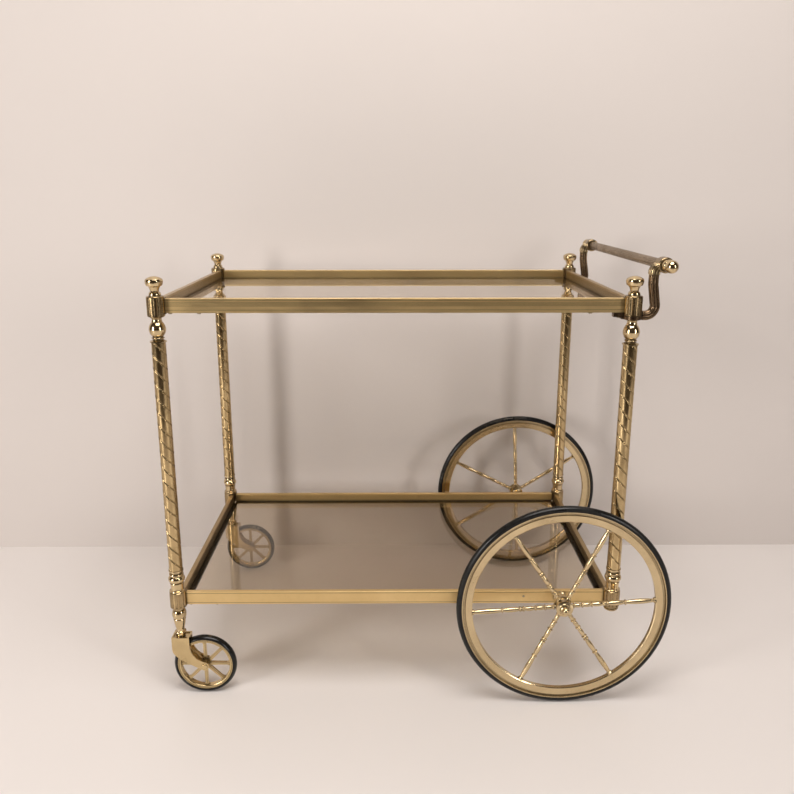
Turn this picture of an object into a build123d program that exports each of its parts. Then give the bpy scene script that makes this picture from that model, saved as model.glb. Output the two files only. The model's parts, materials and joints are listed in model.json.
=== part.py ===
"""Brass bar cart: two glass trays on four twisted posts, two large spoked wheels and two casters.

Frame: +Z up, +X towards the push handle, -Y the front long side.
Origin: on the floor, under the middle of the cart's overall length and width.
Millimetres throughout.
"""

import math
import os

from build123d import *

os.makedirs("parts", exist_ok=True)

# ---------------------------------------------------------------- driving dimensions
leg_span_x = 650.0  # post axis to post axis, along the cart
leg_span_y = 404.0  # post axis to post axis, across the cart

wheel_r = 157.6
wheel_inset = 78.0  # wheel axle, inboard of the handle-end posts
wheel_plane = 29.0  # middle of the wheel, outboard of the post axis
caster_r = 47.5
caster_trail = 35.0

upper_rail_z = 586.1  # underside of the upper rails
lower_rail_z = 146.5
rail_h = 20.0
rail_w = 7.2
rail_inset = 1.0  # outer face of a rail, inboard of the post axis
rail_wall = 1.3
ledge_w = 8.0
ledge_t = 1.5

glass_t = 4.0
glass_gap = 0.5

block_r = 12.0
pad_reach = 12.2  # face that a rail butts against, from the post axis
pad_margin = 1.5  # the pad stands this far above and below its rail
upper_block_z = (581.8, 609.6)
lower_block_z = (143.8, 170.0)
tenon_l = 50.0

tube_r = 9.9
tube_bore_r = 7.6
tube_lead = 60.5  # height of one full turn of the twist
tube_starts = 3
tube_z = (204.6, 546.6)

tie_rod_r = 3.0
axle_r = 5.0
rod_gap = 0.05
bearing_gap = 0.05
face_gap = 0.4  # between a turning piece and the fixed piece beside it

screw_shank_r = 1.5
screw_head_r = 2.9
screw_head_t = 1.8
screw_l = 9.0
screw_from_post = (18.0, 57.0)

handle_plate_t = 4.5
handle_out = 38.0  # handle bar axis, outboard of the handle-end posts
handle_z = 650.8
bar_r = 6.8

# ---------------------------------------------------------------- derived places
x_low = caster_trail - caster_r
x_high = leg_span_x - wheel_inset + wheel_r
x_caster = -(x_low + x_high) / 2
x_handle = x_caster + leg_span_x
x_axle = x_handle - wheel_inset
x_bar = x_handle + handle_out
x_tray = (x_caster + x_handle) / 2
leg_y = leg_span_y / 2

UP = Vector(0, 0, 1)
SIDES = {"front": -1, "back": 1}
ENDS = {"caster_end": x_caster, "handle_end": x_handle}
LEGS = [(x, side * leg_y) for x in ENDS.values() for side in SIDES.values()]


# ---------------------------------------------------------------- shared helpers
def upright(x, y):
    """Plane of a turned profile: local x is the radius, local y the height."""
    return Plane(origin=(x, y, 0), x_dir=(1, 0, 0), z_dir=(0, -1, 0))


def outboard(x, y, z, side):
    """Plane of a profile turned about a crosswise axle: local y points away from the cart."""
    return Plane(origin=(x, y, z), x_dir=(1, 0, 0), z_dir=(0, 0, side))


def turned_profile(plane, stations, bore_r=0.0):
    """Half section of a turned piece from (radius, height) stations, base to tip.

    A third number in a station is the radius half way along the arc that leads to it.
    """
    base = stations[0]
    tip = stations[-1]
    with BuildSketch(plane) as profile:
        with BuildLine():
            if base[0] > bore_r:
                Line((bore_r, base[1]), (base[0], base[1]))
            for start, end in zip(stations, stations[1:]):
                if len(end) == 3:
                    middle = (end[2], (start[1] + end[1]) / 2)
                    ThreePointArc((start[0], start[1]), middle, (end[0], end[1]))
                else:
                    Line((start[0], start[1]), (end[0], end[1]))
            if tip[0] > bore_r:
                Line((tip[0], tip[1]), (bore_r, tip[1]))
            Line((bore_r, tip[1]), (bore_r, base[1]))
        make_face()
    return profile.sketch


def dome(foot_r, foot_z, tip_z):
    """Last station of a spherical end that starts at (foot_r, foot_z)."""
    rise = tip_z - foot_z
    centre = (rise**2 - foot_r**2) / (2 * rise)
    ball_r = rise - centre
    return (0.0, tip_z, math.sqrt(ball_r**2 - (rise / 2 - centre) ** 2))


def shifted(stations, z):
    """The same stations, raised by z."""
    return [(s[0], s[1] + z, *s[2:]) for s in stations]


def finish(part, name):
    """Label the piece and write its file."""
    part.label = name
    export_step(part, f"parts/{name}.step")


# ---------------------------------------------------------------- rails
def rail_section(plane, groove_heights):
    """Hollow rail, grooved on both faces; local x points outboard."""
    with BuildSketch(plane) as section:
        with Locations((-rail_w / 2, rail_h / 2)):
            Rectangle(rail_w, rail_h)
        fillet(section.vertices().group_by(Axis.Y)[-1], 0.6)
        with Locations(*[(0, v) for v in groove_heights]):
            Rectangle(0.9, 0.7, mode=Mode.SUBTRACT)
        with Locations(*[(-rail_w, 7.0 + 1.8 * i) for i in range(6)]):
            Rectangle(0.6, 0.6, mode=Mode.SUBTRACT)
        with Locations((-rail_w / 2, rail_h / 2)):
            Rectangle(rail_w - 2 * rail_wall, rail_h - 2 * rail_wall, mode=Mode.SUBTRACT)
    return section.sketch


def ledge_section(plane):
    """Foot along the inside of a rail that carries the edge of the glass."""
    with BuildSketch(plane) as section:
        with Locations((-rail_w - ledge_w / 2 + 0.2, ledge_t / 2)):
            Rectangle(ledge_w + 0.4, ledge_t)
    return section.sketch


def make_rail(name, middle, outward, length, ledge_l, groove_heights, screw_places):
    """Straight rail, middle at the outer bottom edge, with screw holes through its underside."""
    plane = Plane(origin=middle, x_dir=outward, z_dir=outward.cross(UP))
    along = outward.cross(UP)
    with BuildPart() as rail:
        extrude(rail_section(plane, groove_heights), amount=length / 2, both=True)
        extrude(ledge_section(plane), amount=ledge_l / 2, both=True)
        for place in screw_places:
            spot = Vector(*middle) + along * place - outward * (rail_w / 2)
            with BuildSketch(Plane(origin=spot, z_dir=UP)):
                Circle(screw_shank_r + rod_gap)
            extrude(amount=rail_wall + 1.0, mode=Mode.SUBTRACT)
        if name in axle_rails:
            spot = Vector(x_axle, middle[1], wheel_r)
            with BuildSketch(Plane(origin=spot, z_dir=-outward)):
                Circle(axle_r + rod_gap)
            extrude(amount=rail_wall + 1.0, mode=Mode.SUBTRACT)
    finish(rail.part, name)


axle_rails = ("lower_front_rail", "lower_back_rail")
upper_grooves = (17.0, 14.4, 12.8, 11.2, 9.6, 4.0)
lower_grooves = (17.6, 2.4)

long_rail_l = leg_span_x - 2 * pad_reach
end_rail_l = leg_span_y - 2 * pad_reach
end_ledge_l = leg_span_y - 2 * (rail_inset + rail_w + ledge_w + 0.5)  # clears the long ledges
long_screws = [s * (leg_span_x / 2 - d) for s in (-1, 1) for d in screw_from_post]
end_screws = [s * (leg_span_y / 2 - d) for s in (-1, 1) for d in screw_from_post]

for level, rail_z, grooves in (
    ("upper", upper_rail_z, upper_grooves),
    ("lower", lower_rail_z, lower_grooves),
):
    for side_name, side in SIDES.items():
        middle = (x_tray, side * (leg_y - rail_inset), rail_z)
        outward = Vector(0, side, 0)
        name = f"{level}_{side_name}_rail"
        make_rail(name, middle, outward, long_rail_l, long_rail_l, grooves, long_screws)
    for end_name, end_x in ENDS.items():
        end = -1 if end_x < x_tray else 1
        middle = (end_x - end * rail_inset, 0, rail_z)
        outward = Vector(end, 0, 0)
        name = f"{level}_{end_name}_rail"
        make_rail(name, middle, outward, end_rail_l, end_ledge_l, grooves, end_screws)


# ---------------------------------------------------------------- corner blocks
flute_count = 12
flute_r = 2.6
flute_depth = 0.9
block_band = 2.2  # plain band above and below the flutes
tenon_w = rail_w - 2 * rail_wall - 0.4
tenon_h = rail_h - 2 * rail_wall - 0.4


def make_corner_block(name, x, y, z_range, rail_z):
    """Fluted block with a flat pad and a tenon for each of its two rails."""
    in_x = 1 if x < x_tray else -1
    in_y = 1 if y < 0 else -1
    z_low, z_high = z_range
    rail_mid = rail_inset + rail_w / 2
    pad_w = rail_w
    tenon_z = rail_z + rail_h / 2
    with BuildPart() as block:
        with BuildSketch(Plane.XY.offset(z_low)):
            with Locations((x, y)):
                Circle(block_r)
        extrude(amount=z_high - z_low)
        chamfer(block.edges().filter_by(GeomType.CIRCLE), 0.8)
        with BuildSketch(Plane.XY.offset(z_low + block_band)):
            with Locations((x, y)):
                with PolarLocations(block_r + flute_r - flute_depth, flute_count):
                    Circle(flute_r)
        extrude(amount=z_high - z_low - 2 * block_band, mode=Mode.SUBTRACT)
        with BuildSketch(Plane.XY.offset(rail_z - pad_margin)):
            with Locations((x + in_x * pad_reach / 2, y + in_y * rail_mid)):
                Rectangle(pad_reach, pad_w)
            with Locations((x + in_x * rail_mid, y + in_y * pad_reach / 2)):
                Rectangle(pad_w, pad_reach)
        extrude(amount=rail_h + 2 * pad_margin)
        for centre, size in (
            ((x + in_x * (pad_reach + tenon_l / 2), y + in_y * rail_mid), (tenon_l, tenon_w)),
            ((x + in_x * rail_mid, y + in_y * (pad_reach + tenon_l / 2)), (tenon_w, tenon_l)),
        ):
            with BuildSketch(Plane.XY.offset(tenon_z - tenon_h / 2)):
                with Locations(centre):
                    Rectangle(*size)
            extrude(amount=tenon_h)
        for reach in screw_from_post:
            for spot in (
                (x + in_x * reach, y + in_y * rail_mid),
                (x + in_x * rail_mid, y + in_y * reach),
            ):
                with BuildSketch(Plane.XY.offset(rail_z)):
                    with Locations(spot):
                        Circle(screw_shank_r + rod_gap)
                extrude(amount=10.0, mode=Mode.SUBTRACT)
        with BuildSketch(Plane.XY.offset(z_low - 1)):
            with Locations((x, y)):
                Circle(tie_rod_r + rod_gap)
        extrude(amount=z_high - z_low + 2, mode=Mode.SUBTRACT)
    finish(block.part, name)


for level, z_range, rail_z in (
    ("upper", upper_block_z, upper_rail_z),
    ("lower", lower_block_z, lower_rail_z),
):
    for end_name, end_x in ENDS.items():
        for side_name, side in SIDES.items():
            name = f"{level}_block_{side_name}_{end_name}"
            make_corner_block(name, end_x, side * leg_y, z_range, rail_z)


# ---------------------------------------------------------------- twisted posts
def post_drop(x):
    """Height that the handle's foot plate takes from a handle-end post."""
    return handle_plate_t if x == x_handle else 0.0


def twisted_section():
    """Round tube with rolled spiral creases."""
    with BuildSketch() as section:
        Circle(tube_r)
        with PolarLocations(tube_r + 0.75, tube_starts):
            Circle(1.7, mode=Mode.SUBTRACT)
        fillet(section.vertices(), 0.7)
        Circle(tube_bore_r, mode=Mode.SUBTRACT)
    return section.sketch


def make_twisted_post(name, x, y):
    """Left-handed twisted tube between the two collars."""
    height = tube_z[1] - tube_z[0] - post_drop(x)
    foot = Vector(x, y, tube_z[0])
    with BuildPart() as tube:
        with BuildLine() as spine:
            Line(foot, foot + UP * height)
        with BuildLine(Plane(origin=foot)) as twist:
            Helix(pitch=tube_lead, height=height, radius=tube_r, lefthand=True)
        section = twisted_section().moved(Location(foot))
        sweep(sections=section, path=spine.line, binormal=twist.wire())
    finish(tube.part, name)


for end_name, end_x in ENDS.items():
    for side_name, side in SIDES.items():
        make_twisted_post(f"twisted_post_{side_name}_{end_name}", end_x, side * leg_y)

# Collars, from the tube's end outwards: flange, neck, bead, ball and a ring against the block.
upper_collar_stations = [
    (11.4, 0.0),
    (11.4, 1.6),
    (8.0, 3.0, 9.0),
    (7.0, 3.6),
    (7.0, 4.4),
    (8.2, 5.0),
    (8.2, 6.6, 8.9),
    (7.2, 7.2),
    (7.2, 7.8),
    (11.6, 17.6, 10.6),
    (7.4, 27.6, 10.6),
    (7.4, 28.6),
    (7.0, 33.0, 6.8),
    (8.8, 34.0),
    (8.8, 35.2),
]
lower_collar_stations = [
    (11.2, 0.0),
    (11.2, 2.2, 11.6),
    (9.6, 3.0),
    (9.4, 4.0),
    (10.2, 13.6, 9.6),
    (9.6, 14.6),
    (10.2, 15.4),
    (10.2, 24.4, 12.2),
    (9.6, 25.2),
    (10.2, 25.8),
    (10.2, 28.8, 10.6),
    (8.2, 29.6),
    (8.0, 32.0),
    (10.8, 32.8),
    (10.8, 34.6),
]
finial_stations = [
    (8.2, 0.0),
    (8.2, 1.0),
    (7.4, 5.0, 8.2),
    (5.9, 6.2),
    (5.9, 7.4),
    (8.4, 13.0, 6.7),
    (10.6, 14.2),
    (12.0, 19.6, 11.7),
    (11.2, 22.9, 11.9),
    dome(11.2, 22.9, 26.8),
]

with BuildPart() as upper_collars:
    for x, y in LEGS:
        drop = post_drop(x)
        stations = shifted(upper_collar_stations, tube_z[1] - drop)
        outline = turned_profile(upright(x, y), stations, tie_rod_r + rod_gap)
        revolve(outline, axis=Axis((x, y, 0), (0, 0, 1)))
finish(upper_collars.part, "upper_collars")

with BuildPart() as lower_collars:
    for x, y in LEGS:
        stations = shifted(lower_collar_stations, lower_block_z[1])
        outline = turned_profile(upright(x, y), stations, tie_rod_r + rod_gap)
        revolve(outline, axis=Axis((x, y, 0), (0, 0, 1)))
finish(lower_collars.part, "lower_collars")

finial_bore = 11.0
with BuildPart() as finials:
    for x, y in LEGS:
        outline = turned_profile(upright(x, y), shifted(finial_stations, upper_block_z[1]))
        revolve(outline, axis=Axis((x, y, 0), (0, 0, 1)))
        with BuildSketch(Plane.XY.offset(upper_block_z[1])):
            with Locations((x, y)):
                Circle(tie_rod_r + rod_gap)
        extrude(amount=finial_bore, mode=Mode.SUBTRACT)
finish(finials.part, "finials")

# One threaded rod clamps each post together, from its foot piece up into the finial.
rod_bottom = 138.0
with BuildPart() as tie_rods:
    for x, y in LEGS:
        with BuildSketch(Plane.XY.offset(rod_bottom)):
            with Locations((x, y)):
                Circle(tie_rod_r)
        extrude(amount=upper_block_z[1] + finial_bore - 1.0 - rod_bottom)
finish(tie_rods.part, "tie_rods")

# ---------------------------------------------------------------- glass shelves
glass_l = leg_span_x - 2 * (rail_inset + rail_w + glass_gap)
glass_w = leg_span_y - 2 * (rail_inset + rail_w + glass_gap)

for level, rail_z in (("upper", upper_rail_z), ("lower", lower_rail_z)):
    with BuildPart() as glass:
        with BuildSketch(Plane.XY.offset(rail_z + ledge_t)):
            with Locations((x_tray, 0)):
                RectangleRounded(glass_l, glass_w, 2.0)
        extrude(amount=glass_t)
        chamfer(glass.edges().group_by(Axis.Z)[-1], 0.5)
    finish(glass.part, f"{level}_glass_shelf")

# ---------------------------------------------------------------- caster legs and foot caps
leg_bottom = 96.4
stem_r = 4.0
stem_top = 127.0
caster_leg_stations = [
    (7.0, 0.0),
    (7.0, 3.8),
    (8.0, 4.4),
    (8.0, 7.2, 8.5),
    (6.4, 8.2),
    (6.2, 11.5, 6.1),
    (9.4, 28.0, 8.0),
    (9.0, 29.0),
    (9.0, 42.0, 10.6),
    (7.4, 43.2),
    (7.4, 45.6),
    (9.2, 46.0),
    (9.2, 47.4),
]
foot_cap_stations = [
    (0.0, 0.0),
    (8.0, 2.6, 4.6),
    (11.0, 6.2, 10.2),
    (10.4, 7.0),
    (9.6, 7.6),
    (9.6, 9.5),
]

for side_name, side in SIDES.items():
    y = side * leg_y
    with BuildPart() as caster_leg:
        stations = shifted(caster_leg_stations, leg_bottom)
        revolve(turned_profile(upright(x_caster, y), stations), axis=Axis((x_caster, y, 0), (0, 0, 1)))
        with BuildSketch(Plane.XY.offset(leg_bottom)):
            with Locations((x_caster, y)):
                Circle(stem_r + bearing_gap)
        extrude(amount=stem_top + 1.0 - leg_bottom, mode=Mode.SUBTRACT)
        with BuildSketch(Plane.XY.offset(rod_bottom - 1.0)):
            with Locations((x_caster, y)):
                Circle(tie_rod_r + rod_gap)
        extrude(amount=lower_block_z[0] - rod_bottom + 1.0, mode=Mode.SUBTRACT)
    finish(caster_leg.part, f"caster_leg_{side_name}")

with BuildPart() as foot_caps:
    for side in SIDES.values():
        y = side * leg_y
        stations = shifted(foot_cap_stations, lower_block_z[0] - foot_cap_stations[-1][1])
        revolve(turned_profile(upright(x_handle, y), stations), axis=Axis((x_handle, y, 0), (0, 0, 1)))
        with BuildSketch(Plane.XY.offset(rod_bottom - 1.0)):
            with Locations((x_handle, y)):
                Circle(tie_rod_r + rod_gap)
        extrude(amount=lower_block_z[0] - rod_bottom + 1.0, mode=Mode.SUBTRACT)
finish(foot_caps.part, "foot_caps")

# ---------------------------------------------------------------- casters
crown_z = (92.4, 95.8)
crown_well = 1.4
well_wall = 1.8
crown_x = (-12.0, 14.5)  # ends of the crown, from the stem
cheek_gap = 15.6
cheek_t = 2.6
caster_axle_r = 2.5
rivet_r = 4.2
hub_gap = 0.4
caster_rim_r = 41.8
caster_rim_in_r = 36.8
caster_rim_w = 10.0
caster_tyre_w = 12.4
caster_hub_r = 6.4
caster_spokes = 8
x_caster_wheel = x_caster + caster_trail


def cheek_outline(plane):
    """Side view of the fork's cheek: broad at the crown, curving down to the axle."""
    with BuildSketch(plane) as outline:
        with BuildLine():
            Line((crown_x[1], crown_z[1]), (crown_x[0], crown_z[1]))
            Line((crown_x[0], crown_z[1]), (crown_x[0], 77.2))
            Spline(
                (crown_x[0], 77.2),
                (-7.0, 65.8),
                (6.5, 55.4),
                (caster_trail - 3.2, caster_r - 5.9),
                tangents=[(0, -1), (0.88, -0.48)],
            )
            ThreePointArc(
                (caster_trail - 3.2, caster_r - 5.9),
                (caster_trail + 6.4, caster_r - 2.0),
                (caster_trail + 2.0, caster_r + 6.4),
            )
            Spline(
                (caster_trail + 2.0, caster_r + 6.4),
                (22.0, 62.2),
                (14.8, 76.2),
                (crown_x[1], crown_z[1]),
                tangents=[(-0.94, 0.34), (0, 1)],
            )
        make_face()
    return outline.sketch


for side_name, side in SIDES.items():
    y = side * leg_y
    wheel_axis = Axis((x_caster_wheel, y, caster_r), (0, 1, 0))

    with BuildPart() as fork:
        cheek_w = cheek_gap + 2 * cheek_t
        flank = Plane(origin=(x_caster, y - cheek_w / 2, 0), x_dir=(1, 0, 0), z_dir=(0, -1, 0))
        extrude(cheek_outline(flank), amount=-cheek_w)
        slot = Plane(origin=(x_caster, y - cheek_gap / 2, 0), x_dir=(1, 0, 0), z_dir=(0, -1, 0))
        with BuildSketch(slot):
            with Locations((10.0, crown_z[0] - 40.0)):
                Rectangle(80.0, 80.0)
        extrude(amount=-cheek_gap, mode=Mode.SUBTRACT)
        with BuildSketch(Plane.XY.offset(crown_z[0] - 1.0)):
            with Locations((x_caster, y)):
                Circle(stem_r)
        extrude(amount=5.0, mode=Mode.SUBTRACT)
        with BuildSketch(Plane.XY.offset(crown_z[1] - crown_well)):
            with Locations((x_caster + sum(crown_x) / 2, y)):
                Rectangle(crown_x[1] - crown_x[0] - 2 * well_wall, cheek_gap)
        extrude(amount=crown_well, mode=Mode.SUBTRACT)
        with BuildSketch(Plane.XZ.offset(-y - cheek_w)):
            with Locations((x_caster_wheel, caster_r)):
                Circle(caster_axle_r)
        extrude(amount=2 * cheek_w, mode=Mode.SUBTRACT)
    finish(fork.part, f"caster_fork_{side_name}")

    with BuildPart() as stem:
        stations = [(stem_r, crown_z[0]), (stem_r, stem_top)]
        revolve(turned_profile(upright(x_caster, y), stations), axis=Axis((x_caster, y, 0), (0, 0, 1)))
    finish(stem.part, f"caster_stem_{side_name}")

    with BuildPart() as axle:
        reach = cheek_gap / 2 + cheek_t
        stations = [
            (rivet_r, -reach - 1.6),
            (rivet_r, -reach),
            (caster_axle_r, -reach),
            (caster_axle_r, reach),
            (rivet_r, reach),
            (rivet_r, reach + 1.6),
        ]
        outline = turned_profile(outboard(x_caster_wheel, y, caster_r, side), stations)
        revolve(outline, axis=wheel_axis)
        fillet(axle.edges().filter_by(GeomType.CIRCLE).group_by(Axis.Y)[0], 1.2)
        fillet(axle.edges().filter_by(GeomType.CIRCLE).group_by(Axis.Y)[-1], 1.2)
    finish(axle.part, f"caster_axle_{side_name}")

    with BuildPart() as wheel:
        half_rim = caster_rim_w / 2
        rim_plane = outboard(x_caster_wheel, y, caster_r, side)
        with BuildSketch(rim_plane) as rim_section:
            with Locations(((caster_rim_r + caster_rim_in_r) / 2, 0)):
                Rectangle(caster_rim_r - caster_rim_in_r, caster_rim_w)
            fillet(rim_section.vertices().group_by(Axis.X)[0], 1.5)
            with Locations((caster_rim_r - 1.9, -half_rim), (caster_rim_r - 1.9, half_rim)):
                Rectangle(0.8, 1.0, mode=Mode.SUBTRACT)
        revolve(axis=wheel_axis)
        hub_half = cheek_gap / 2 - hub_gap
        hub_stations = [
            (4.4, -hub_half),
            (4.8, -hub_half + 1.5),
            (caster_hub_r, -hub_half + 2.0),
            (caster_hub_r, hub_half - 2.0),
            (4.8, hub_half - 1.5),
            (4.4, hub_half),
        ]
        revolve(turned_profile(rim_plane, hub_stations), axis=wheel_axis)
        spoke_plane = Plane(origin=(x_caster_wheel, y, caster_r), x_dir=(1, 0, 0), z_dir=(0, -1, 0))
        with BuildSketch(spoke_plane):
            with PolarLocations(0, caster_spokes):
                Polygon(
                    (caster_hub_r - 1.5, -2.8),
                    (caster_rim_in_r + 1.0, -2.0),
                    (caster_rim_in_r + 1.0, 2.0),
                    (caster_hub_r - 1.5, 2.8),
                    align=None,
                )
                Polygon(
                    (caster_rim_in_r - 5.0, -1.8),
                    (caster_rim_in_r + 1.0, -4.4),
                    (caster_rim_in_r + 1.0, 4.4),
                    (caster_rim_in_r - 5.0, 1.8),
                    align=None,
                )
        extrude(amount=1.9, both=True)
        with BuildSketch(spoke_plane):
            with PolarLocations((caster_hub_r + caster_rim_in_r) / 2, caster_spokes):
                Rectangle(caster_rim_in_r - caster_hub_r + 2.0, 1.4)
        extrude(amount=2.7, both=True)
        with BuildSketch(Plane.XZ.offset(-y - cheek_gap)):
            with Locations((x_caster_wheel, caster_r)):
                Circle(caster_axle_r + bearing_gap)
        extrude(amount=2 * cheek_gap, mode=Mode.SUBTRACT)
    finish(wheel.part, f"caster_wheel_{side_name}")

    with BuildPart() as tyre:
        half_w = caster_tyre_w / 2
        shoulder = caster_r - 3.4
        stations = [
            (caster_rim_r, -half_w + 0.6),
            (caster_rim_r + 0.6, -half_w),
            (shoulder, -half_w),
            (shoulder, half_w, caster_r),
            (caster_rim_r + 0.6, half_w),
            (caster_rim_r, half_w - 0.6),
        ]
        outline = turned_profile(outboard(x_caster_wheel, y, caster_r, side), stations, caster_rim_r)
        revolve(outline, axis=wheel_axis)
    finish(tyre.part, f"caster_tyre_{side_name}")

# ---------------------------------------------------------------- large wheels
wheel_tyre_t = 7.4
rim_r = wheel_r - wheel_tyre_t
rim_in_r = rim_r - 15.8
rim_w = 11.0
tyre_w = 12.0
wheel_hub_r = 12.4
hub_half_l = 10.5
spoke_count = 6
spoke_root = 8.5
first_spoke = {"front": 4.0, "back": 33.0}

# Beads along a spoke, as a fraction of its length from rim to hub.
bead_places = (0.35, 0.56, 0.60, 0.74, 0.85, 0.95)
bead_half = 0.8
bead_r = 4.3
spoke_neck_r = 2.6
spoke_tenon_r = 2.0


def spoke_stations():
    """Turned spoke from the rim socket inwards, with swelling stretches between beads."""
    length = rim_in_r - spoke_root
    stations = [
        (spoke_tenon_r, -0.8),
        (spoke_tenon_r, 0.15),
        (bead_r, 0.15),
        (bead_r, 2.0),
        (2.6, 3.4),
    ]
    for place in bead_places:
        centre = place * length
        stretch = centre - stations[-1][1]
        swell_r = spoke_neck_r + 0.4 + min(0.9, 0.03 * stretch)
        stations.append((spoke_neck_r, centre - bead_half - 0.6, swell_r))
        stations.append((bead_r - 0.5, centre - bead_half))
        stations.append((bead_r - 0.5, centre + bead_half, bead_r))
        stations.append((spoke_neck_r, centre + bead_half + 0.6))
    stations.append((spoke_neck_r, length))
    return stations


for side_name, side in SIDES.items():
    y = side * (leg_y + wheel_plane)
    centre = (x_axle, y, wheel_r)
    wheel_axis = Axis(centre, (0, 1, 0))
    section_plane = outboard(*centre, side)

    with BuildPart() as rim:
        half = rim_w / 2
        stations = [
            (rim_in_r, -half + 2.5),
            (rim_in_r + 1.0, -half + 1.7),
            (rim_in_r + 10.0, -half + 1.2),
            (rim_in_r + 10.8, -half + 2.8),
            (rim_in_r + 13.4, -half + 2.8),
            (rim_in_r + 14.2, -half),
            (rim_r, -half),
            (rim_r, half),
            (rim_in_r + 14.2, half),
            (rim_in_r + 13.4, half - 2.8),
            (rim_in_r + 10.8, half - 2.8),
            (rim_in_r + 10.0, half - 1.2),
            (rim_in_r + 1.0, half - 1.7),
            (rim_in_r, half - 2.5),
        ]
        outline = turned_profile(section_plane, stations, rim_in_r)
        revolve(outline, axis=wheel_axis)
        for i in range(spoke_count):
            turn = math.radians(first_spoke[side_name] + i * 360.0 / spoke_count)
            inward = Vector(-math.cos(turn), 0, -math.sin(turn))
            socket = Vector(*centre) - inward * (rim_in_r - 0.2)
            with BuildSketch(Plane(origin=socket, z_dir=-inward)):
                Circle(spoke_tenon_r + rod_gap)
            extrude(amount=1.2, mode=Mode.SUBTRACT)
    finish(rim.part, f"wheel_rim_{side_name}")

    with BuildPart() as tyre:
        half = tyre_w / 2
        stations = [
            (rim_r, -half),
            (rim_r + 3.0, -half),
            (rim_r + 3.0, half, wheel_r),
            (rim_r, half),
        ]
        revolve(turned_profile(section_plane, stations, rim_r), axis=wheel_axis)
    finish(tyre.part, f"wheel_tyre_{side_name}")

    with BuildPart() as spokes:
        for i in range(spoke_count):
            turn = math.radians(first_spoke[side_name] + i * 360.0 / spoke_count)
            inward = Vector(-math.cos(turn), 0, -math.sin(turn))
            seat = Vector(*centre) - inward * rim_in_r
            plane = Plane(origin=seat, x_dir=(0, 1, 0), z_dir=Vector(0, 1, 0).cross(inward))
            revolve(turned_profile(plane, spoke_stations()), axis=Axis(seat, inward))
    finish(spokes.part, f"wheel_spokes_{side_name}")

    with BuildPart() as hub:
        stations = [
            (9.0, -hub_half_l),
            (wheel_hub_r, -hub_half_l + 1.0),
            (wheel_hub_r, -5.4),
            (10.4, -4.8),
            (10.4, 4.8),
            (wheel_hub_r, 5.4),
            (wheel_hub_r, hub_half_l - 2.0),
            (9.0, hub_half_l - 0.8),
            (8.2, hub_half_l),
        ]
        outline = turned_profile(section_plane, stations, axle_r + bearing_gap)
        revolve(outline, axis=wheel_axis)
        for i in range(spoke_count):
            turn = math.radians(first_spoke[side_name] + i * 360.0 / spoke_count)
            outward = Vector(math.cos(turn), 0, math.sin(turn))
            root = Vector(*centre) + outward * (spoke_root - 0.1)
            with BuildSketch(Plane(origin=root, z_dir=outward)):
                Circle(spoke_neck_r + rod_gap)
            extrude(amount=6.0, mode=Mode.SUBTRACT)
    finish(hub.part, f"wheel_hub_{side_name}")

    rail_face = rail_inset + wheel_plane  # outer face of the rail, inboard of the wheel plane
    with BuildPart() as stub_axle:
        stations = [
            (axle_r, -rail_face - 5.6),
            (axle_r, -rail_face),
            (8.6, -rail_face),
            (8.6, -rail_face + 3.0),
            (7.0, -rail_face + 4.0),
            (7.0, -hub_half_l - face_gap - 2.0),
            (8.0, -hub_half_l - face_gap - 1.4),
            (8.0, -hub_half_l - face_gap),
            (axle_r, -hub_half_l - face_gap),
            (axle_r, hub_half_l + face_gap),
            (3.5, hub_half_l + face_gap),
            (3.5, hub_half_l + 6.0),
        ]
        revolve(turned_profile(section_plane, stations), axis=wheel_axis)
    finish(stub_axle.part, f"wheel_axle_{side_name}")

    with BuildPart() as cap_nut:
        base = hub_half_l + face_gap
        stations = [
            (6.4, base),
            (6.4, base + 1.6),
            (5.4, base + 2.4),
            dome(5.4, base + 2.4, base + 10.4),
        ]
        revolve(turned_profile(section_plane, stations), axis=wheel_axis)
        seat = Vector(x_axle, y + side * base, wheel_r)
        with BuildSketch(Plane(origin=seat, z_dir=(0, side, 0))):
            Circle(3.5)
        extrude(amount=6.0, mode=Mode.SUBTRACT)
    finish(cap_nut.part, f"axle_cap_nut_{side_name}")

# Threaded backing plates inside the lower long rails take the stub axles.
plate_l = 74.0
plate_pin_x = x_axle - 54.0
with BuildPart() as backing_plates:
    for side in SIDES.values():
        inner_face = side * (leg_y - rail_inset - rail_wall - 0.2)
        plate_x = x_axle + 12.0 - plate_l / 2
        face = Plane(origin=(plate_x, inner_face, wheel_r), x_dir=(1, 0, 0), z_dir=(0, -side, 0))
        with BuildSketch(face):
            Rectangle(plate_l, 14.0)
            with Locations((x_axle - plate_x, 0)):
                Circle(axle_r + rod_gap, mode=Mode.SUBTRACT)
        extrude(amount=4.2)
finish(backing_plates.part, "axle_backing_plates")

# ---------------------------------------------------------------- handle
arm_w = 13.0
arm_d = 11.0
arm_bend_r = 13.0
arm_top_z = 638.3
arm_route = ((12.6, 582.4), (31.5, 582.4), (25.0, 625.4), (25.0, arm_top_z))  # (outboard, z)
plate_z = upper_block_z[0] - handle_plate_t
tab_z = (upper_rail_z - 6.0, upper_rail_z)
tab_x = (-26.0, -12.4)
plate_tip_x = -14.8  # the plate reaches under the rail just far enough to carry the tab
clasp_half = 9.0  # half length of the eye that holds the bar
clasp_r = 10.8
clasp_w = 13.6
clasp_d = 17.0
clasp_bend_r = 8.0
clasp_route = ((25.0, arm_top_z), (25.0, arm_top_z + 7.5), (handle_out, handle_z + 1.0))
scallop_r = 1.5
scallop_depth = 1.0
scallop_pitch = 3.8
bar_ring_r = 8.0
stud_depth = 14.0


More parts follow.
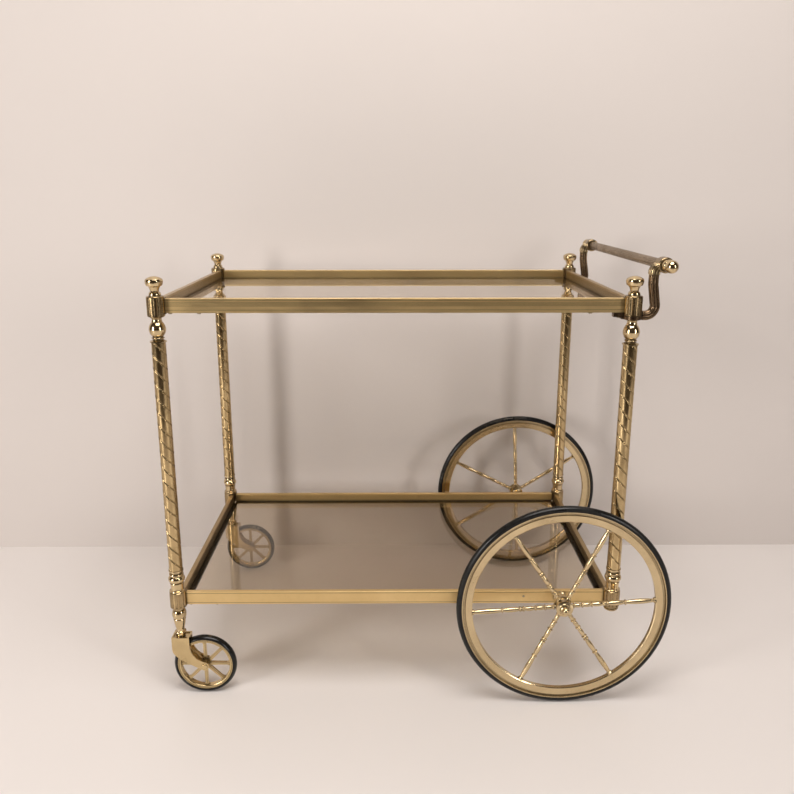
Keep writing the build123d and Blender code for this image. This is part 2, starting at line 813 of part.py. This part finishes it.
def side_view(x, y):
    """Plane that shows the handle from the front: local x runs outboard, local y up."""
    return Plane(origin=(x, y, 0), x_dir=(1, 0, 0), z_dir=(0, -1, 0))


def scallop_places(size):
    """Middles of the scallops across a face of this size."""
    count = round((size - 3.0) / scallop_pitch)
    return [(i - (count - 1) / 2) * scallop_pitch for i in range(count)]


def fluted_section(plane, width, depth):
    """Rounded bar section with scallops along all four faces."""
    lift = scallop_r - scallop_depth
    with BuildSketch(plane) as section:
        RectangleRounded(width, depth, 4.0)
        for v in (-depth / 2 - lift, depth / 2 + lift):
            with Locations(*[(u, v) for u in scallop_places(width)]):
                Circle(scallop_r, mode=Mode.SUBTRACT)
        for u in (-width / 2 - lift, width / 2 + lift):
            with Locations(*[(u, v) for v in scallop_places(depth)]):
                Circle(scallop_r, mode=Mode.SUBTRACT)
    return section.sketch


for side_name, side in SIDES.items():
    y = side * leg_y
    rail_mid = rail_inset + rail_w / 2

    with BuildPart() as arm:
        with BuildSketch(Plane.XY.offset(plate_z)):
            with Locations((x_handle, y)):
                Circle(block_r + 0.3)
            with Locations((x_handle + arm_route[0][0] / 2, y)):
                Rectangle(arm_route[0][0] + 0.4, arm_d)
            with Locations((x_handle + plate_tip_x / 2, y - side * rail_mid)):
                Rectangle(-plate_tip_x, 9.0)
        extrude(amount=handle_plate_t)
        with BuildSketch(Plane.XY.offset(tab_z[0])):
            with Locations((x_handle + sum(tab_x) / 2, y - side * rail_mid)):
                Rectangle(tab_x[1] - tab_x[0], 9.0)
        extrude(amount=tab_z[1] - tab_z[0])
        with BuildLine(side_view(x_handle, y)) as route:
            FilletPolyline(*arm_route, radius=arm_bend_r)
        root = Plane(
            origin=(x_handle + arm_route[0][0], y, arm_route[0][1]), x_dir=(0, 0, 1), z_dir=(1, 0, 0)
        )
        sweep(sections=fluted_section(root, arm_w, arm_d), path=route.line)
        with BuildSketch(Plane.XY.offset(plate_z - 1.0)):
            with Locations((x_handle, y)):
                Circle(tie_rod_r + rod_gap)
            with Locations((x_handle - screw_from_post[0], y - side * rail_mid)):
                Circle(screw_shank_r + rod_gap)
        extrude(amount=tab_z[1] - plate_z + 2.0, mode=Mode.SUBTRACT)
    finish(arm.part, f"handle_arm_{side_name}")

    with BuildPart() as clasp:
        near_face = y - clasp_half
        with BuildSketch(side_view(x_bar, near_face)):
            with Locations((0, handle_z)):
                Circle(clasp_r)
        extrude(amount=-2 * clasp_half)
        fillet(clasp.edges().filter_by(GeomType.CIRCLE), 2.4)
        with BuildLine(side_view(x_handle, y)) as route:
            FilletPolyline(*clasp_route, radius=clasp_bend_r)
        heel = Plane(origin=(x_handle + clasp_route[0][0], y, arm_top_z), x_dir=(1, 0, 0), z_dir=(0, 0, 1))
        sweep(sections=fluted_section(heel, clasp_w, clasp_d), path=route.line)
        with BuildSketch(side_view(x_bar, near_face - 1.0)):
            with Locations((0, handle_z)):
                Circle(bar_r + rod_gap)
        extrude(amount=-2 * clasp_half - 2.0, mode=Mode.SUBTRACT)
    finish(clasp.part, f"handle_clasp_{side_name}")

with BuildPart() as handle_bar:
    with BuildSketch(Plane(origin=(x_bar, 0, handle_z), x_dir=(1, 0, 0), z_dir=(0, -1, 0))):
        Circle(bar_r)
        with PolarLocations(bar_r + 0.3, 18):
            Circle(0.9, mode=Mode.SUBTRACT)
    extrude(amount=leg_y + clasp_half, both=True)
    for side in SIDES.values():
        end = Plane(origin=(x_bar, side * (leg_y + clasp_half), handle_z), z_dir=(0, -side, 0))
        with BuildSketch(end):
            Circle(tie_rod_r + rod_gap)
        extrude(amount=stud_depth, mode=Mode.SUBTRACT)
        with BuildSketch(end.offset(2 * clasp_half)):
            Circle(bar_ring_r)
        extrude(amount=3.5)
finish(handle_bar.part, "handle_bar")

with BuildPart() as handle_knobs:
    for side in SIDES.values():
        stations = [
            (tie_rod_r, -stud_depth + 1.0),
            (tie_rod_r, 0.0),
            (6.6, 0.0),
            (6.2, 8.0, 7.8),
            (4.8, 9.2),
            (4.8, 10.2),
            (6.0, 13.2, 5.6),
            dome(6.0, 13.2, 28.6),
        ]
        end_plane = outboard(x_bar, side * (leg_y + clasp_half), handle_z, side)
        bar_axis = Axis((x_bar, 0, handle_z), (0, 1, 0))
        revolve(turned_profile(end_plane, stations), axis=bar_axis)
finish(handle_knobs.part, "handle_knobs")


# ---------------------------------------------------------------- screws
def screw_places():
    """(x, y, head underside z) of every rail screw."""
    rail_mid = rail_inset + rail_w / 2
    places = []
    for rail_z in (upper_rail_z, lower_rail_z):
        for x, y in LEGS:
            in_x = 1 if x < x_tray else -1
            in_y = 1 if y < 0 else -1
            for reach in screw_from_post:
                under_tab = rail_z == upper_rail_z and x == x_handle and reach == screw_from_post[0]
                seat_z = tab_z[0] if under_tab else rail_z
                places.append((x + in_x * reach, y + in_y * rail_mid, seat_z))
                places.append((x + in_x * rail_mid, y + in_y * reach, rail_z))
    return places


with BuildPart() as rail_screws:
    for x, y, seat_z in screw_places():
        rail_z = upper_rail_z if seat_z > 400 else lower_rail_z
        stations = [
            (1.6, seat_z - screw_head_t),
            (screw_head_r, seat_z - 0.6, 2.6),
            (screw_head_r, seat_z),
            (screw_shank_r, seat_z),
            (screw_shank_r, rail_z + screw_l),
        ]
        revolve(turned_profile(upright(x, y), stations), axis=Axis((x, y, 0), (0, 0, 1)))
finish(rail_screws.part, "rail_screws")

with BuildPart() as plate_pins:
    for side in SIDES.values():
        face = side * (leg_y - rail_inset)
        with BuildSketch(Plane(origin=(plate_pin_x, face + side * 0.5, wheel_r), z_dir=(0, -side, 0))):
            Circle(1.5)
        extrude(amount=0.5)
finish(plate_pins.part, "plate_pins")
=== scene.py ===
"""Looks for the brass bar cart: materials, light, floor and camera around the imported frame."""
import json
import math

import bpy
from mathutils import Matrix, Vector

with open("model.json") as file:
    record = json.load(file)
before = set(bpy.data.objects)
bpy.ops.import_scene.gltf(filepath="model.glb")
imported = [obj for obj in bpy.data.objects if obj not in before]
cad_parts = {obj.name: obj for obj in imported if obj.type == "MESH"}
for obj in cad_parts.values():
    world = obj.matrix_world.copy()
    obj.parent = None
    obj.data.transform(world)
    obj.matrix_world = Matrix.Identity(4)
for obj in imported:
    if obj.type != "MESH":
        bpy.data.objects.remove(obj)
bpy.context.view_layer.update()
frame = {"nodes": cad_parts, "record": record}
NODES = frame["nodes"]
SLOTS = {s["node"]: s["material_slot"] for s in frame["record"]["subparts"]}

CREASE = 0.004  # how far the dirt and painted shade reach out of a crease, in metres
TWIST_CREASE = 0.009

# Stretches of the scratches, for pieces that are brushed along one axis
ALONG_X = (0.04, 1.0, 1.0)
ALONG_Y = (1.0, 0.04, 1.0)
ALONG_Z = (1.0, 1.0, 0.05)

# Colours that the creases are darkened towards: dirt and painted shade.
DIRT_AND_SHADE_BROWN = (0.040, 0.022, 0.009)
BLACK = (0.012, 0.008, 0.004)


# ---------------------------------------------------------------- node helpers
class Tree:
    """A material's node tree with short calls to add and join nodes."""

    def __init__(self, name):
        self.mat = bpy.data.materials.new(name)
        self.mat.use_nodes = True
        self.nodes = self.mat.node_tree.nodes
        self.links = self.mat.node_tree.links
        self.shader = self.nodes["Principled BSDF"]
        self.coords = self.nodes.new("ShaderNodeTexCoord").outputs["Object"]

    def join(self, a, b):
        self.links.new(a, b)

    def scaled(self, scale):
        node = self.nodes.new("ShaderNodeMapping")
        node.inputs["Scale"].default_value = scale
        self.join(self.coords, node.inputs["Vector"])
        return node.outputs["Vector"]

    def noise(self, scale, detail=4.0, rough=0.55, stretch=None):
        node = self.nodes.new("ShaderNodeTexNoise")
        node.inputs["Scale"].default_value = scale
        node.inputs["Detail"].default_value = detail
        node.inputs["Roughness"].default_value = rough
        self.join(self.scaled(stretch) if stretch else self.coords, node.inputs["Vector"])
        return node.outputs["Fac"]

    def spread(self, value, low, high, to_low=0.0, to_high=1.0):
        node = self.nodes.new("ShaderNodeMapRange")
        node.inputs["From Min"].default_value = low
        node.inputs["From Max"].default_value = high
        node.inputs["To Min"].default_value = to_low
        node.inputs["To Max"].default_value = to_high
        self.join(value, node.inputs["Value"])
        return node.outputs["Result"]

    def math(self, kind, a, b):
        node = self.nodes.new("ShaderNodeMath")
        node.operation = kind
        node.use_clamp = True
        for socket, value in zip(node.inputs, (a, b)):
            if isinstance(value, (int, float)):
                socket.default_value = value
            else:
                self.join(value, socket)
        return node.outputs[0]

    def mix(self, factor, a, b):
        node = self.nodes.new("ShaderNodeMix")
        node.data_type = "RGBA"
        self.join(factor, node.inputs["Factor"])
        for socket, value in ((node.inputs[6], a), (node.inputs[7], b)):
            if isinstance(value, tuple):
                socket.default_value = (*value, 1.0)
            else:
                self.join(value, socket)
        return node.outputs[2]

    def occlusion_shade(self, distance):
        """Ambient occlusion: 0 on open surfaces, towards 1 in creases, grooves and beside other pieces;
        it serves as a painted-shade mask.
        """
        node = self.nodes.new("ShaderNodeAmbientOcclusion")
        node.samples = 6
        node.inputs["Distance"].default_value = distance
        return self.spread(node.outputs["AO"], 0.95, 0.35)

    def bump(self, height, strength, distance):
        node = self.nodes.new("ShaderNodeBump")
        node.inputs["Strength"].default_value = strength
        node.inputs["Distance"].default_value = distance
        self.join(height, node.inputs["Height"])
        self.join(node.outputs["Normal"], self.shader.inputs["Normal"])


# ---------------------------------------------------------------- materials
def brass(name, bright, dull, grime_and_shade, rough, grain, cloud, brushed=None, crease=CREASE):
    """Aged brass: clouded tarnish, dirt and painted shade in the creases, fine scratches and an uneven
    polish.
    """
    t = Tree(name)
    t.shader.inputs["Metallic"].default_value = 1.0
    clouds = t.spread(t.noise(cloud, 5.0, 0.6), 0.35, 0.68)
    specks = t.spread(t.noise(cloud * 14, 3.0, 0.6), 0.55, 0.75)
    tarnish = t.math("ADD", clouds, t.math("MULTIPLY", specks, 0.35))
    metal = t.mix(t.math("MULTIPLY", tarnish, 0.5), bright, dull)
    crease_dirt_and_shade = t.occlusion_shade(crease)
    # Painted shade: the occlusion mask darkens creases, grooves and spots beside other pieces towards the
    # dirt and shade colour.
    t.join(t.mix(t.math("MULTIPLY", crease_dirt_and_shade, 0.85), metal, grime_and_shade), t.shader.inputs["Base Color"])
    scratch = t.noise(520.0, 3.0, 0.7, brushed)
    polish = t.spread(clouds, 0.0, 1.0, rough - 0.05, rough + 0.07)
    level = t.math("ADD", polish, t.math("MULTIPLY", crease_dirt_and_shade, 0.25))
    level = t.math("ADD", level, t.spread(scratch, 0.3, 0.7, 0.0, 0.08))
    t.join(level, t.shader.inputs["Roughness"])
    t.bump(scratch, grain, 0.0004)
    return t.mat


def rubber(name, colour, dust, rough):
    """Black rubber with a little dust and an uneven sheen."""
    t = Tree(name)
    clouds = t.spread(t.noise(22.0, 5.0, 0.6), 0.4, 0.75)
    t.join(t.mix(t.math("MULTIPLY", clouds, 0.6), colour, dust), t.shader.inputs["Base Color"])
    fine = t.noise(900.0, 2.0, 0.6)
    sheen = t.spread(clouds, 0.0, 1.0, rough - 0.05, rough + 0.12)
    level = t.math("ADD", sheen, t.spread(fine, 0.3, 0.7, 0.0, 0.06))
    t.join(level, t.shader.inputs["Roughness"])
    t.shader.inputs["Specular IOR Level"].default_value = 0.32
    t.bump(fine, 0.12, 0.0003)
    return t.mat


def smoked_glass(name, thin, thick):
    """Brown glass with faint smears."""
    t = Tree(name)
    clouds = t.spread(t.noise(6.0, 4.0, 0.6), 0.35, 0.7)
    t.join(t.mix(clouds, thin, thick), t.shader.inputs["Base Color"])
    smears = t.spread(t.noise(30.0, 6.0, 0.7, (1.0, 2.4, 1.0)), 0.5, 0.8, 0.015, 0.07)
    t.join(smears, t.shader.inputs["Roughness"])
    t.shader.inputs["Transmission Weight"].default_value = 1.0
    t.shader.inputs["IOR"].default_value = 1.5
    t.bump(t.noise(9.0, 2.0, 0.4), 0.02, 0.0004)
    return t.mat


# Each brass: bright metal, dull metal, colour of the dirt and painted crease shade, roughness, grain,
# size of the clouds, then the brushed direction and the reach of the painted crease shade where they
# differ.
BRASSES = {
    # The long rails get a brighter copy of the rail brass and the end rails a darker one: painted light
    # and painted shade on one brass, besides their two brushing directions.
    "rail_brass_long_painted_lit": (
        (0.82, 0.610, 0.300), (0.62, 0.440, 0.195), DIRT_AND_SHADE_BROWN, 0.36, 0.10, 7.0, ALONG_X,
    ),
    "rail_brass_end_painted_shade": (
        (0.50, 0.370, 0.200), (0.34, 0.240, 0.120), DIRT_AND_SHADE_BROWN, 0.32, 0.10, 7.0, ALONG_Y,
    ),
    "block_brass": ((0.44, 0.325, 0.175), (0.20, 0.135, 0.066), BLACK, 0.17, 0.08, 40.0),
    "post_brass": (
        (0.62, 0.465, 0.245), (0.25, 0.170, 0.082), BLACK, 0.12, 0.06, 22.0, ALONG_Z, TWIST_CREASE,
    ),
    "polished_brass": ((0.70, 0.550, 0.325), (0.38, 0.275, 0.140), BLACK, 0.10, 0.05, 34.0),
    "bronze": ((0.24, 0.160, 0.094), (0.10, 0.064, 0.038), BLACK, 0.20, 0.08, 40.0, ALONG_Z),
    "clasp_bronze": ((0.40, 0.300, 0.170), (0.18, 0.125, 0.070), BLACK, 0.18, 0.08, 40.0),
    "bar_brass": ((0.40, 0.300, 0.185), (0.22, 0.160, 0.095), BLACK, 0.22, 0.08, 20.0, ALONG_Y),
    "wheel_brass": ((0.72, 0.575, 0.350), (0.46, 0.345, 0.190), BLACK, 0.17, 0.06, 16.0),
    "caster_brass": ((0.72, 0.560, 0.305), (0.46, 0.340, 0.175), BLACK, 0.16, 0.06, 30.0),
    "steel": ((0.42, 0.370, 0.290), (0.25, 0.200, 0.140), DIRT_AND_SHADE_BROWN, 0.30, 0.06, 60.0),
}
RUBBERS = {
    "wheel_tyre": ((0.0045, 0.0043, 0.0040), (0.010, 0.009, 0.008), 0.26),
    "caster_tyre": ((0.0045, 0.0043, 0.0040), (0.009, 0.008, 0.007), 0.20),
}


def look_name(node_name):
    """The slot's name, apart from the rails, which are brushed two ways and get a painted lit copy (long
    rails) and a painted shaded copy (end rails), and the darker clasps.
    """
    if node_name.endswith("_end_rail"):
        return "rail_brass_end_painted_shade"
    if node_name.startswith("handle_clasp"):
        return "clasp_bronze"
    slot_name = SLOTS[node_name]
    return "rail_brass_long_painted_lit" if slot_name == "rail_brass" else slot_name


looks = {name: brass(name, *values) for name, values in BRASSES.items()}
looks.update({name: rubber(name, *values) for name, values in RUBBERS.items()})
looks["smoked_glass"] = smoked_glass("smoked_glass", (0.76, 0.675, 0.56), (0.72, 0.630, 0.51))

for name, node in NODES.items():
    for slot in node.material_slots:
        slot.material = looks[look_name(name)]


# ---------------------------------------------------------------- floor and wall
def stage_material(name, colour, rough):
    """A plain pale surface with a very faint clouding."""
    t = Tree(name)
    clouds = t.spread(t.noise(1.3, 3.0, 0.5), 0.3, 0.7)
    t.join(t.mix(clouds, colour, tuple(0.97 * c for c in colour)), t.shader.inputs["Base Color"])
    t.shader.inputs["Roughness"].default_value = rough
    return t


def see_through_from_behind(t):
    """The sheet shows only its front, so it hides nothing when looked at from the back."""
    clear = t.nodes.new("ShaderNodeBsdfTransparent")
    choose = t.nodes.new("ShaderNodeMixShader")
    t.join(t.nodes.new("ShaderNodeNewGeometry").outputs["Backfacing"], choose.inputs["Fac"])
    t.join(t.shader.outputs["BSDF"], choose.inputs[1])
    t.join(clear.outputs["BSDF"], choose.inputs[2])
    t.join(choose.outputs["Shader"], t.nodes["Material Output"].inputs["Surface"])


def paint_shade_nearer_than(t, y_dark, y_pale, painted_shade_colour):
    """Paints shade on a stage material towards the near side of the room: a painted shadow of the dim
    room in front.
    """
    surface = t.shader.inputs["Base Color"].links[0].from_socket
    split = t.nodes.new("ShaderNodeSeparateXYZ")
    t.join(t.nodes.new("ShaderNodeNewGeometry").outputs["Position"], split.inputs[0])
    blend = t.spread(split.outputs["Y"], y_dark, y_pale)
    t.join(t.mix(blend, painted_shade_colour, surface), t.shader.inputs["Base Color"])


def sheet(name, corners, material):
    mesh = bpy.data.meshes.new(name)
    mesh.from_pydata(corners, [], [(0, 1, 2, 3)])
    mesh.materials.append(material)
    piece = bpy.data.objects.new(name, mesh)
    bpy.context.scene.collection.objects.link(piece)


REACH = 4.0
WALL_Y = 0.31
WALL_TOP = 3.2
NEAR_SHADE = (0.050, 0.036, 0.026)

pale = stage_material("pale_floor", (0.79, 0.745, 0.720), 0.42)
# Painted shadow: the floor turns dark on its near side.
paint_shade_nearer_than(pale, -1.75, -1.30, NEAR_SHADE)
sheet("floor", [(-REACH, -REACH, 0), (REACH, -REACH, 0), (REACH, REACH, 0), (-REACH, REACH, 0)], pale.mat)

plaster = stage_material("pale_wall", (0.66, 0.606, 0.575), 0.75)
see_through_from_behind(plaster)
wall_foot = [(-REACH, WALL_Y, 0), (REACH, WALL_Y, 0)]
wall_head = [(REACH, WALL_Y, WALL_TOP), (-REACH, WALL_Y, WALL_TOP)]
sheet("wall", wall_foot + wall_head, plaster.mat)

# ---------------------------------------------------------------- light
WARM = (1.0, 0.957, 0.918)


def area_light(name, place, target, size, power):
    data = bpy.data.lights.new(name, "AREA")
    data.shape = "RECTANGLE"
    data.size, data.size_y = size
    data.energy = power
    data.color = WARM
    lamp = bpy.data.objects.new(name, data)
    lamp.location = place
    lamp.rotation_euler = (Vector(target) - Vector(place)).to_track_quat("-Z", "Y").to_euler()
    bpy.context.scene.collection.objects.link(lamp)


area_light("ceiling", (0.1, -0.85, 2.3), (0, -0.2, 0.0), (1.5, 1.1), 38)
area_light("left_window", (-2.1, -1.9, 0.95), (0.1, 0.1, 0.20), (0.5, 1.2), 39)
area_light("right_window", (2.0, -2.0, 1.1), (0, 0.1, 0.20), (0.4, 1.1), 17)


def room(dark, pale_side):
    """Surroundings: a dim room on the front side, a pale wall on the back side."""
    world = bpy.data.worlds.new("room")
    world.use_nodes = True
    nodes, links = world.node_tree.nodes, world.node_tree.links
    split = nodes.new("ShaderNodeSeparateXYZ")
    links.new(nodes.new("ShaderNodeTexCoord").outputs["Generated"], split.inputs[0])
    blend = nodes.new("ShaderNodeMapRange")
    blend.inputs["From Min"].default_value = -0.1
    blend.inputs["From Max"].default_value = 0.8
    links.new(split.outputs["Y"], blend.inputs["Value"])
    mix = nodes.new("ShaderNodeMix")
    mix.data_type = "RGBA"
    links.new(blend.outputs["Result"], mix.inputs["Factor"])
    mix.inputs[6].default_value = (*dark, 1.0)
    mix.inputs[7].default_value = (*pale_side, 1.0)
    links.new(mix.outputs[2], nodes["Background"].inputs["Color"])
    nodes["Background"].inputs["Strength"].default_value = 1.0
    bpy.context.scene.world = world


room((0.060, 0.048, 0.039), (0.50, 0.460, 0.43))

# ---------------------------------------------------------------- camera
CAMERA_PLACE = (-0.03875, -1.2754, 0.7473)
CAMERA_TILT = 0.2548  # below the horizontal, in radians
CAMERA_ROLL = -0.0074

camera_data = bpy.data.cameras.new("camera")
camera_data.lens = 35.88
camera_data.sensor_width = 36.0
camera = bpy.data.objects.new("camera", camera_data)
camera.location = CAMERA_PLACE
camera.rotation_euler = (math.pi / 2 - CAMERA_TILT, 0.0, CAMERA_ROLL)
bpy.context.scene.collection.objects.link(camera)
bpy.context.scene.camera = camera
bpy.context.scene.view_settings.view_transform = "Standard"
